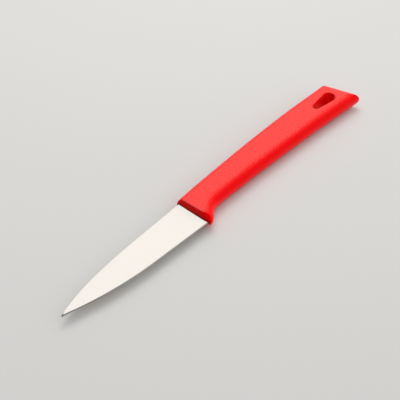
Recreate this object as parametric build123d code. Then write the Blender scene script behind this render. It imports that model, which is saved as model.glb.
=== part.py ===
from build123d import *
import os

# Kitchen paring knife, lying on the flat of its handle.
# It is drawn in the knife's own frame: X runs from the handle's front face to its butt,
# Y from the cutting edge to the spine, Z across the blade's thickness, and the origin is
# where the blade's spine leaves the handle. The last step lays it down on the table.

# Blade, mm
blade_length = 82.8
blade_height = 17.6
blade_thickness = 1.5
tip_thickness = 0.7
tip_drop = 5.75
grind_thickness = 0.36
bevel_width = 0.5
seat_depth = 2.6

# Tang, mm
tang_length = 58.0
tang_height = 8.0
tang_inset = 2.2
tang_corner = 1.6
tang_hole_diameter = 4.2
tang_hole_pitch = 24.0

# Handle, mm. The rounding of the butt and of its spine corner are shares of the width.
handle_length = 115.9
handle_width = 20.0
handle_thickness = 9.3
front_bulge = 0.9
front_edge_radius = 0.5
toe_length = 12.0
butt_slant = 15.0
butt_round_share = 0.23
butt_spine_corner_share = 0.075
butt_belly_corner = 0.4
flat_skim = 0.03

# Hanging hole, mm
hole_large_diameter = 6.5
hole_small_diameter = 3.6
hole_pitch = 9.9
hole_slope = 2.7
hole_butt_margin = 13.2
hole_spine_margin = 10.0
hole_edge_radius = 0.4

overrun = 5.0
slice_count = 60
round_share = 0.5523

# Blade outline. Each row holds shares of the blade's length from the handle,
# of the tip's drop for the spine, and of the blade's height for the cutting edge.
blade_outline_shares = [
    (0.00, 0.00, 1.000),
    (0.12, 0.00, 0.966),
    (0.24, 0.00, 0.929),
    (0.36, 0.00, 0.895),
    (0.48, 0.02, 0.852),
    (0.60, 0.09, 0.784),
    (0.72, 0.22, 0.685),
    (0.82, 0.41, 0.577),
    (0.90, 0.63, 0.474),
    (0.96, 0.84, 0.384),
    (0.995, 0.98, 0.345),
]

# Handle outline. Each row holds the share of the handle's length from its front face,
# then shares of the handle's width: spine side above the blade's spine, belly side
# below it, and the rounded shoulders of the spine side and of the belly side. The last
# number is how much blunter than an ellipse the belly's shoulder is.
handle_outline_shares = [
    (-0.0100, 0.050, 0.930, 0.245, 0.400, 0.06),
    (0.0000, 0.053, 0.934, 0.245, 0.400, 0.06),
    (0.0087, 0.065, 0.939, 0.245, 0.400, 0.06),
    (0.0173, 0.069, 0.940, 0.245, 0.395, 0.06),
    (0.0234, 0.070, 0.931, 0.245, 0.385, 0.06),
    (0.0310, 0.071, 0.908, 0.245, 0.375, 0.05),
    (0.0405, 0.073, 0.868, 0.245, 0.362, 0.04),
    (0.0508, 0.075, 0.822, 0.245, 0.348, 0.03),
    (0.0620, 0.078, 0.772, 0.245, 0.330, 0.02),
    (0.0740, 0.081, 0.731, 0.245, 0.305, 0.01),
    (0.0864, 0.083, 0.700, 0.245, 0.285, 0.00),
    (0.1036, 0.085, 0.675, 0.243, 0.262, 0.00),
    (0.1250, 0.087, 0.664, 0.240, 0.247, 0.00),
    (0.1550, 0.089, 0.662, 0.240, 0.240, 0.00),
    (0.2000, 0.092, 0.669, 0.240, 0.240, 0.00),
    (0.2600, 0.096, 0.683, 0.240, 0.240, 0.00),
    (0.3450, 0.098, 0.703, 0.240, 0.240, 0.00),
    (0.4750, 0.096, 0.748, 0.240, 0.240, 0.00),
    (0.6050, 0.080, 0.797, 0.240, 0.240, 0.00),
    (0.7350, 0.054, 0.850, 0.240, 0.240, 0.00),
    (0.8650, 0.007, 0.921, 0.240, 0.240, 0.00),
    (1.0300, -0.048, 1.010, 0.240, 0.240, 0.00),
]

# Front face. Each row holds the share of the handle's width below the blade's spine,
# then shares of the front bulge: how far the face lies back in the middle of the
# handle's thickness, and how much further back it lies at the flats. The slices reach
# twice as far up as the flats, where a bulge is four times as deep.
front_face_shares = [
    (-0.300, 0.00, 1.00),
    (0.000, 0.00, 1.00),
    (0.500, 0.00, 1.00),
    (0.600, 0.00, 1.12),
    (0.700, 0.01, 1.60),
    (0.755, 0.04, 2.50),
    (0.810, 0.12, 3.90),
    (0.865, 0.30, 5.40),
    (0.910, 0.65, 6.50),
    (0.960, 1.30, 7.40),
    (1.020, 2.40, 8.20),
]


def smooth_row(rows, along_share):
    """The row at a share of the length, on smooth curves through the rows of a table."""
    places = [row[0] for row in rows]
    last = len(rows) - 1
    before = max(i for i in range(last) if places[i] <= along_share)
    start, end = rows[before], rows[before + 1]
    span = places[before + 1] - places[before]
    step = (along_share - places[before]) / span

    def slope(index, column):
        left, right = max(index - 1, 0), min(index + 1, last)
        return (rows[right][column] - rows[left][column]) / (places[right] - places[left])

    values = [along_share]
    for column in range(1, len(start)):
        rise = end[column] - start[column]
        leaving = slope(before, column) * span
        arriving = slope(before + 1, column) * span
        bend = leaving + arriving - 2 * rise
        hollow = 3 * rise - 2 * leaving - arriving
        values.append(start[column] + step * (leaving + step * (hollow + step * bend)))
    return values


def slices(rows, section, start_share, end_share):
    """Evenly spaced slices of a piece, between two shares of its length."""
    step = (end_share - start_share) / (slice_count - 1)
    shares = [start_share + step * i for i in range(slice_count)]
    return [section(*smooth_row(rows, share)) for share in shares]


def blade_section(along_share, drop_share, edge_share):
    """One slice across the blade: a flat spine, two ground flanks and a bevelled edge."""
    spine_y = -drop_share * tip_drop
    edge_y = -edge_share * blade_height
    height = spine_y - edge_y
    taper = tip_thickness - blade_thickness
    spine_half = (blade_thickness + taper * along_share) / 2
    bevel_height = min(bevel_width, height / 3)
    grind_half = min(grind_thickness / 2, spine_half * (1 - along_share / 2))
    corners = [
        (spine_y, spine_half),
        (edge_y + bevel_height, grind_half),
        (edge_y, 0),
        (edge_y + bevel_height, -grind_half),
        (spine_y, -spine_half),
    ]
    points = [Vector(-along_share * blade_length, y, z) for y, z in corners]
    return Face(Wire.make_polygon(points, close=True))


def make_tang():
    """The narrow tongue that runs back inside the handle, with its two locking holes."""
    middle_y = -tang_inset - tang_height / 2
    start = seat_depth
    with BuildPart() as tang:
        with BuildSketch():
            with Locations((start + tang_length / 2, middle_y)):
                Rectangle(tang_length, tang_height)
            far = start + tang_length
            fillet(vertices().filter_by(lambda v: abs(v.X - far) < tang_corner), tang_corner)
            first_hole_x = start + tang_length / 2 - tang_hole_pitch / 2
            with Locations((first_hole_x, middle_y), (first_hole_x + tang_hole_pitch, middle_y)):
                Circle(tang_hole_diameter / 2, mode=Mode.SUBTRACT)
        extrude(amount=blade_thickness / 2, both=True)
    return tang.part


def make_blade():
    """Ground blade, the full-height seat that enters the handle, and the tang."""
    rows = blade_outline_shares
    ground = loft(slices(rows, blade_section, rows[0][0], rows[-1][0]))
    root = blade_section(*rows[0])
    seat = extrude(root, amount=seat_depth, dir=(1, 0, 0))
    return ground + seat + make_tang()


def handle_section(along_share, spine_share, belly_share, spine_round, belly_round, blunt_share):
    """One slice across the handle: two flats joined by a rounded shoulder on each side."""
    high = handle_thickness / 2 + flat_skim
    spine_depth = spine_round * handle_width
    belly_depth = belly_round * handle_width
    spine_flat = spine_share * handle_width - spine_depth
    belly_end = -belly_share * handle_width
    belly_flat = belly_end + belly_depth
    lead = belly_flat - belly_depth * (round_share - blunt_share)
    rise = high * (round_share + blunt_share)
    with BuildSketch(Plane.YZ.offset(along_share * handle_length)) as sketch:
        with BuildLine():
            EllipticalCenterArc((spine_flat, 0), spine_depth, high, -90, arc_size=90)
            EllipticalCenterArc((spine_flat, 0), spine_depth, high, 0, arc_size=90)
            Line((spine_flat, high), (belly_flat, high))
            Bezier((belly_flat, high), (lead, high), (belly_end, rise), (belly_end, 0))
            Bezier((belly_end, 0), (belly_end, -rise), (lead, -high), (belly_flat, -high))
            Line((belly_flat, -high), (spine_flat, -high))
        make_face()
    return sketch.sketch.faces()[0]


def front_section(down_share, back_share, depth_share):
    """One slice behind the front face, level with the spine: a bulge as deep as the row says."""
    middle = back_share * front_bulge
    wide = handle_thickness
    rear = 4 * depth_share * front_bulge
    reach = handle_length + overrun
    low_end, high_end = (middle + rear, -wide), (middle + rear, wide)
    with BuildSketch(Plane.XZ.offset(down_share * handle_width)) as sketch:
        with BuildLine():
            Bezier(low_end, (middle - rear, 0), high_end)
            Polyline(high_end, (reach, wide), (reach, -wide), low_end)
        make_face()
    return sketch.sketch.faces()[0]


def front_envelope():
    """Everything behind the front face, which bulges gently and rounds off the toe."""
    rows = front_face_shares
    return loft(slices(rows, front_section, rows[0][0], rows[-1][0]))


def flats_envelope():
    """Everything between the two flats."""
    return Box(handle_length * 3, handle_width * 4, handle_thickness)


def butt_envelope():
    """Everything in front of the slanted butt, which is rounded like the handle's sides."""
    high = handle_thickness / 2 + flat_skim
    outward = Vector(1, 0, 0).rotate(Axis.Z, butt_slant)
    across = Plane(
        origin=(handle_length, -handle_width, 0),
        x_dir=outward,
        z_dir=outward.rotate(Axis.Z, -90),
    )
    depth = butt_round_share * handle_width
    start = -depth
    reach = -handle_length - handle_width
    with BuildPart() as envelope:
        with BuildSketch(across):
            with BuildLine():
                EllipticalCenterArc((start, 0), depth, high, -90, arc_size=90)
                EllipticalCenterArc((start, 0), depth, high, 0, arc_size=90)
                Polyline((start, high), (reach, high), (reach, -high), (start, -high))
            make_face()
        extrude(amount=handle_length, both=True)
    return envelope.part


def butt_mitres(grip, on_spine_side):
    """The two edges where the butt's rounding meets that of one side of the handle."""
    found = []
    for edge in grip.edges():
        box = edge.bounding_box()
        at_butt = box.min.X > handle_length - handle_width / 2
        above_middle = box.center().Y > -handle_width / 2
        if at_butt and box.size.Z > handle_thickness / 3 and above_middle == on_spine_side:
            found.append(edge)
    return found


def make_grip():
    """Lofted handle between its front face, its flats and its butt, its edges rounded."""
    rows = handle_outline_shares
    toe_share = toe_length / handle_length
    toe = loft(slices(rows, handle_section, rows[0][0], toe_share)) & flats_envelope()
    grip = loft(slices(rows, handle_section, toe_share, rows[-1][0])) & flats_envelope()
    grip = grip & butt_envelope()
    grip = fillet(butt_mitres(grip, True), butt_spine_corner_share * handle_width)
    grip = fillet(butt_mitres(grip, False), butt_belly_corner)
    body = (toe + grip) & front_envelope()
    front = body.faces().sort_by(Axis.X)[0]
    return fillet(front.edges(), front_edge_radius)


def make_hole():
    """Teardrop hole through the butt, its wide end towards the butt."""
    wide = Vector(handle_length - hole_butt_margin, -hole_spine_margin)
    narrow = wide - Vector(hole_pitch, 0).rotate(Axis.Z, -hole_slope)
    with BuildPart() as hole:
        with BuildSketch():
            with Locations(wide):
                Circle(hole_large_diameter / 2)
            with Locations(narrow):
                Circle(hole_small_diameter / 2)
            make_hull()
        extrude(amount=handle_thickness, both=True)
    return hole.part


def make_handle(blade):
    """Handle moulded around the blade's seat and tang."""
    body = make_grip() - make_hole()
    rims = body.edges().filter_by(is_hole_rim)
    body = fillet(rims, hole_edge_radius)
    return body - blade


def is_hole_rim(edge):
    """True for the edges around the two mouths of the hanging hole."""
    middle = edge.bounding_box()
    centre_x = handle_length - hole_butt_margin - hole_pitch / 2
    near_x = abs(middle.center().X - centre_x) < (hole_pitch + hole_large_diameter) / 2
    inside = middle.min.Y > -hole_spine_margin - hole_large_diameter
    inside = inside and middle.max.Y < -hole_spine_margin + hole_large_diameter
    at_mouth = middle.size.Z < hole_edge_radius and abs(middle.center().Z) > hole_edge_radius
    return near_x and inside and at_mouth


def lay_down(pieces):
    """Centre the knife over the origin, resting on the handle's lower flat."""
    boxes = [piece.bounding_box() for piece in pieces]
    middle_x = (min(box.min.X for box in boxes) + max(box.max.X for box in boxes)) / 2
    middle_y = (min(box.min.Y for box in boxes) + max(box.max.Y for box in boxes)) / 2
    floor_z = min(box.min.Z for box in boxes)
    return [Location((-middle_x, -middle_y, -floor_z)) * piece for piece in pieces]


blade = make_blade()
handle = make_handle(blade)
blade, handle = lay_down([blade, handle])

os.makedirs("parts", exist_ok=True)
for name, piece in {"blade": blade, "handle": handle}.items():
    export_step(piece, f"parts/{name}.step")
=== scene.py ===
import bpy
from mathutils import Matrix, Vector


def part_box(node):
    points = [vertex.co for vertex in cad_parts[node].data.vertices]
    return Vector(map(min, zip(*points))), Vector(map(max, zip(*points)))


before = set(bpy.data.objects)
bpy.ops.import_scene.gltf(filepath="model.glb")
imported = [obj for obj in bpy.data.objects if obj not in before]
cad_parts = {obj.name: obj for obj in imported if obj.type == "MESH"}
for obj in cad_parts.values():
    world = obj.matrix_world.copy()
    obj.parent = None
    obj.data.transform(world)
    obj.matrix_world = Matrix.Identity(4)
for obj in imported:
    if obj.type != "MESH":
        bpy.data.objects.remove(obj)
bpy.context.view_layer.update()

handle_low, handle_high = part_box("handle")
blade_low, blade_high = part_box("blade")

# Sizes of the knife, metres
handle_middle = (handle_low.z + handle_high.z) / 2
handle_half_thickness = (handle_high.z - handle_low.z) / 2
blade_half_thickness = (blade_high.z - blade_low.z) / 2
crease_height = 0.0022
crease_raggedness = 0.0004
front_depth = 0.003
front_fade = 0.003
rim_height = 0.0007
rim_margin = 0.0002
bevel_fade = 0.04
grain_depth = 0.0001
line_depth = 0.00005

# Fineness of the patterns, per metre
crease_fineness = 1400
mottle_fineness = 1600
grain_fineness = 2200
line_fineness = (4000, 120, 120)

# Values between which most noise lies
noise_range = (0.3, 0.7)

# Sizes and places around the knife, metres
floor_size = 6
lamp_distance = 0.6
lamp_size = 0.4
camera_offset = Vector((-0.319089, -0.282594, 0.423281))

# Directions seen from the knife
window_side = (0.544, 0.460, 0.702)
wall_side = (-0.95, -0.3, 0.1)
sky_side = (0.7, -0.35, 0.62)
lamp_side = Vector((0.45, 0.35, 0.82)).normalized()
camera_sight = Vector((0.544252, 0.459833, -0.701672))

# Strengths of the light
room_strength = 0.2
window_strength = 1.0
wall_strength = 0.7
sky_strengths = (0.31, 1.3)
lamp_watts = 1.4

# Lens and sensor, millimetres
lens_length = 117.49
sensor_width = 36


def new_material(name):
    """A node material with only its output and one principled shader."""
    material = bpy.data.materials.new(name)
    material.use_nodes = True
    nodes = material.node_tree.nodes
    links = material.node_tree.links
    nodes.clear()
    output = nodes.new("ShaderNodeOutputMaterial")
    shader = nodes.new("ShaderNodeBsdfPrincipled")
    links.new(shader.outputs["BSDF"], output.inputs["Surface"])
    return material, nodes, links, shader


def noise(nodes, links, place, scale, detail):
    """Noise on the piece's own coordinates, finer with a larger scale."""
    texture = nodes.new("ShaderNodeTexNoise")
    texture.inputs["Scale"].default_value = scale
    texture.inputs["Detail"].default_value = detail
    links.new(place, texture.inputs["Vector"])
    return texture.outputs["Fac"]


def calculate(nodes, links, operation, first, second=0):
    """A sum, product or the like of two sockets or numbers."""
    step = nodes.new("ShaderNodeMath")
    step.operation = operation
    for socket, value in zip(step.inputs, (first, second)):
        if isinstance(value, bpy.types.NodeSocket):
            links.new(value, socket)
        else:
            socket.default_value = value
    return step.outputs["Value"]


def map_range(nodes, links, value, from_low, from_high, to_low, to_high):
    """A value carried from one range to another, and held at its ends."""
    step = nodes.new("ShaderNodeMapRange")
    for name, number in (
        ("From Min", from_low),
        ("From Max", from_high),
        ("To Min", to_low),
        ("To Max", to_high),
    ):
        step.inputs[name].default_value = number
    links.new(value, step.inputs["Value"])
    return step.outputs["Result"]


def blend(nodes, links, share, under, over):
    """One colour laid over another by a share from 0 to 1."""
    step = nodes.new("ShaderNodeMix")
    step.data_type = "RGBA"
    under_colour, over_colour = step.inputs[6], step.inputs[7]
    mixed_colour = step.outputs[2]
    links.new(share, step.inputs["Factor"])
    if isinstance(under, bpy.types.NodeSocket):
        links.new(under, under_colour)
    else:
        under_colour.default_value = under
    over_colour.default_value = over
    return mixed_colour


def bump(nodes, links, height, strength, distance):
    """Relief from a height."""
    step = nodes.new("ShaderNodeBump")
    step.inputs["Strength"].default_value = strength
    step.inputs["Distance"].default_value = distance
    links.new(height, step.inputs["Height"])
    return step.outputs["Normal"]


def red_plastic():
    """Satin polypropylene with a moulded grain relief, a painted sheen that pales the two flats, a
    painted highlight along the front's top edge and painted shade on the front face.
    """
    deep_red = (0.98, 0.001, 0.003, 1)
    # Painted sheen of the flats
    sheen_red = (1.0, 0.092, 0.080, 1)
    # Painted highlight of the front's top edge
    highlight_red = (1.0, 0.13, 0.13, 1)
    # Painted shade of the front face
    shade_red = (0.1, 0.001, 0.001, 1)
    level_slopes = (0.6, 0.97)
    edge_slopes = (0.15, 0.35)
    front_slopes = (0.7, 0.95)
    mottle_shares = (0.6, 1)
    highlight_share = 0.9
    shade_share = 0.75
    flat_power = 3
    shade_power = 2
    side_roughness = 0.30
    flat_roughness = 0.38
    material, nodes, links, shader = new_material("red_plastic")
    shader.inputs["IOR"].default_value = 1.5
    shader.inputs["Specular IOR Level"].default_value = 0.25
    shader.inputs["Specular Tint"].default_value = (1, 0.12, 0.12, 1)
    surface = nodes.new("ShaderNodeTexCoord")
    place = surface.outputs["Object"]
    along = nodes.new("ShaderNodeSeparateXYZ")
    links.new(place, along.inputs["Vector"])
    facing = nodes.new("ShaderNodeSeparateXYZ")
    links.new(surface.outputs["Normal"], facing.inputs["Vector"])

    # Flats, with a painted sheen that is paler where they face up, a ragged border and a fine
    # mottle
    height = calculate(nodes, links, "SUBTRACT", along.outputs["Z"], handle_middle)
    height = calculate(nodes, links, "ABSOLUTE", height)
    ragged = noise(nodes, links, place, scale=crease_fineness, detail=2)
    ragged = map_range(nodes, links, ragged, *noise_range, -crease_raggedness, crease_raggedness)
    ragged = calculate(nodes, links, "ADD", height, ragged)
    crease = handle_half_thickness - crease_height
    on_flat = map_range(nodes, links, ragged, crease, handle_half_thickness, 0, 1)
    on_flat = calculate(nodes, links, "POWER", on_flat, flat_power)
    upward = calculate(nodes, links, "ABSOLUTE", facing.outputs["Z"])
    level = map_range(nodes, links, upward, *level_slopes, 0, 1)
    on_flat = calculate(nodes, links, "MULTIPLY", on_flat, level)
    mottle = noise(nodes, links, place, scale=mottle_fineness, detail=3)
    mottle = map_range(nodes, links, mottle, *noise_range, *mottle_shares)
    sheen_share = calculate(nodes, links, "MULTIPLY", on_flat, mottle)
    colour = blend(nodes, links, sheen_share, deep_red, sheen_red)

    # Front's top edge, with a painted highlight along its rounding
    forward = calculate(nodes, links, "MULTIPLY", facing.outputs["X"], -1)
    front_end = handle_low.x + front_depth
    at_front = map_range(nodes, links, along.outputs["X"], front_end, front_end + front_fade, 1, 0)
    forward = calculate(nodes, links, "MULTIPLY", forward, at_front)
    edge = calculate(nodes, links, "MULTIPLY", forward, upward)
    rim_low = handle_half_thickness - rim_height
    rim_high = handle_half_thickness - rim_margin
    on_rim = map_range(nodes, links, height, rim_low, rim_high, 0, 1)
    edge_highlight = map_range(nodes, links, edge, *edge_slopes, 0, highlight_share)
    edge_highlight = calculate(nodes, links, "MULTIPLY", edge_highlight, on_rim)
    colour = blend(nodes, links, edge_highlight, colour, highlight_red)

    # Front face, with painted shade darker down to the blade
    in_front = map_range(nodes, links, forward, *front_slopes, 0, shade_share)
    near_blade = map_range(nodes, links, height, blade_half_thickness, handle_half_thickness, 1, 0)
    near_blade = calculate(nodes, links, "POWER", near_blade, shade_power)
    shade = calculate(nodes, links, "MULTIPLY", in_front, near_blade)
    colour = blend(nodes, links, shade, colour, shade_red)
    links.new(colour, shader.inputs["Base Color"])

    # Gloss and moulded grain
    roughness = map_range(nodes, links, on_flat, 0, 1, side_roughness, flat_roughness)
    links.new(roughness, shader.inputs["Roughness"])
    grain = noise(nodes, links, place, scale=grain_fineness, detail=2)
    relief = bump(nodes, links, grain, strength=0.5, distance=grain_depth)
    links.new(relief, shader.inputs["Normal"])
    return material


def ground_steel():
    """Stainless steel ground across the blade, with a painted dark reflection on the bevel at the
    edge.
    """
    pale_steel = (0.95, 0.90, 0.84, 1)
    # Painted dark reflection of the bevel
    bevel_reflection_colour = (0.20, 0.17, 0.14, 1)
    bevel_slopes = (-0.3, -0.2)
    point_share = 0.9
    bevel_share = 0.4
    line_roughness = (0.282, 0.290)
    material, nodes, links, shader = new_material("ground_steel")
    shader.inputs["Metallic"].default_value = 0.85
    surface = nodes.new("ShaderNodeTexCoord")
    along = nodes.new("ShaderNodeSeparateXYZ")
    links.new(surface.outputs["Object"], along.inputs["Vector"])
    facing = nodes.new("ShaderNodeSeparateXYZ")
    links.new(surface.outputs["Normal"], facing.inputs["Vector"])

    # Bevel, with a painted dark reflection, darkest at the point
    bevel = map_range(nodes, links, facing.outputs["Y"], *bevel_slopes, 1, 0)
    fade_end = blade_low.x + bevel_fade
    point = map_range(
        nodes, links, along.outputs["X"], blade_low.x, fade_end, point_share, bevel_share
    )
    painted_reflection = calculate(nodes, links, "MULTIPLY", bevel, point)
    colour = blend(nodes, links, painted_reflection, pale_steel, bevel_reflection_colour)
    links.new(colour, shader.inputs["Base Color"])

    # Faint grinding lines, from edge to spine
    stretch = nodes.new("ShaderNodeMapping")
    stretch.inputs["Scale"].default_value = line_fineness
    links.new(surface.outputs["Object"], stretch.inputs["Vector"])
    lines = noise(nodes, links, stretch.outputs["Vector"], scale=1, detail=2)
    roughness = map_range(nodes, links, lines, *noise_range, *line_roughness)
    links.new(roughness, shader.inputs["Roughness"])
    relief = bump(nodes, links, lines, strength=0.03, distance=line_depth)
    links.new(relief, shader.inputs["Normal"])
    return material


def worktop():
    """Plain pale matt floor."""
    material, nodes, links, shader = new_material("worktop")
    shader.inputs["Base Color"].default_value = (0.665, 0.658, 0.642, 1)
    shader.inputs["Roughness"].default_value = 0.9
    shader.inputs["Specular IOR Level"].default_value = 0.2
    return material


def towards(nodes, links, direction, aim):
    """How far a direction points towards an aim, from -1 to 1."""
    step = nodes.new("ShaderNodeVectorMath")
    step.operation = "DOT_PRODUCT"
    step.inputs[1].default_value = Vector(aim).normalized()
    links.new(direction, step.inputs[0])
    return step.outputs["Value"]


def light(nodes, links, strength):
    """White light of a strength that varies over the world."""
    step = nodes.new("ShaderNodeBackground")
    step.inputs["Color"].default_value = (1, 1, 1, 1)
    links.new(strength, step.inputs["Strength"])
    return step.outputs["Background"]


def daylight():
    """Sky for matt surfaces, and a window, a low pale wall and a dim room for glossy ones."""
    window_reach = (0.76, 0.93)
    wall_reach = (0.5, 0.75)
    world = bpy.data.worlds.new("daylight")
    world.use_nodes = True
    nodes = world.node_tree.nodes
    links = world.node_tree.links
    nodes.clear()
    output = nodes.new("ShaderNodeOutputWorld")
    direction = nodes.new("ShaderNodeTexCoord").outputs["Generated"]
    at_window = towards(nodes, links, direction, window_side)
    window = map_range(nodes, links, at_window, *window_reach, room_strength, window_strength)
    at_wall = towards(nodes, links, direction, wall_side)
    wall = map_range(nodes, links, at_wall, *wall_reach, 0, wall_strength)
    mirrored = calculate(nodes, links, "ADD", window, wall)
    at_sky = towards(nodes, links, direction, sky_side)
    sky = map_range(nodes, links, at_sky, 0, 1, *sky_strengths)
    ray = nodes.new("ShaderNodeLightPath")
    choice = nodes.new("ShaderNodeMixShader")
    links.new(ray.outputs["Is Glossy Ray"], choice.inputs["Fac"])
    links.new(light(nodes, links, sky), choice.inputs[1])
    links.new(light(nodes, links, mirrored), choice.inputs[2])
    links.new(choice.outputs["Shader"], output.inputs["Surface"])
    return world


# Materials of the two pieces
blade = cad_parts["blade"]
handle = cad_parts["handle"]
for piece, material in ((blade, ground_steel()), (handle, red_plastic())):
    piece.data.materials.clear()
    piece.data.materials.append(material)

# The handle isn't mirrored, so the bright blade stays clean up to its front
handle.visible_glossy = False

# Floor
bpy.ops.object.select_all(action="DESELECT")
bpy.ops.mesh.primitive_plane_add(size=floor_size, location=(0, 0, 0))
floor = bpy.context.object
floor.name = "floor"
floor.data.materials.append(worktop())

# Daylight
bpy.context.scene.world = daylight()

# Soft lamp, above the knife and beyond it from the camera
bpy.ops.object.light_add(type="AREA", location=lamp_side * lamp_distance)
lamp = bpy.context.object
lamp.name = "soft_lamp"
lamp.rotation_euler = lamp_side.to_track_quat("Z", "Y").to_euler()
lamp.data.size = lamp_size
lamp.data.energy = lamp_watts
lamp.visible_glossy = False

# Camera, placed from the blade's spine at the handle's front
corner = Vector((handle_low.x, blade_high.y, handle_middle))
bpy.ops.object.camera_add(location=corner + camera_offset)
camera = bpy.context.object
camera.rotation_euler = camera_sight.to_track_quat("-Z", "Y").to_euler()
camera.data.sensor_width = sensor_width
camera.data.lens = lens_length
camera.data.clip_start = 0.01
bpy.context.scene.camera = camera

bpy.context.scene.view_settings.view_transform = "Standard"
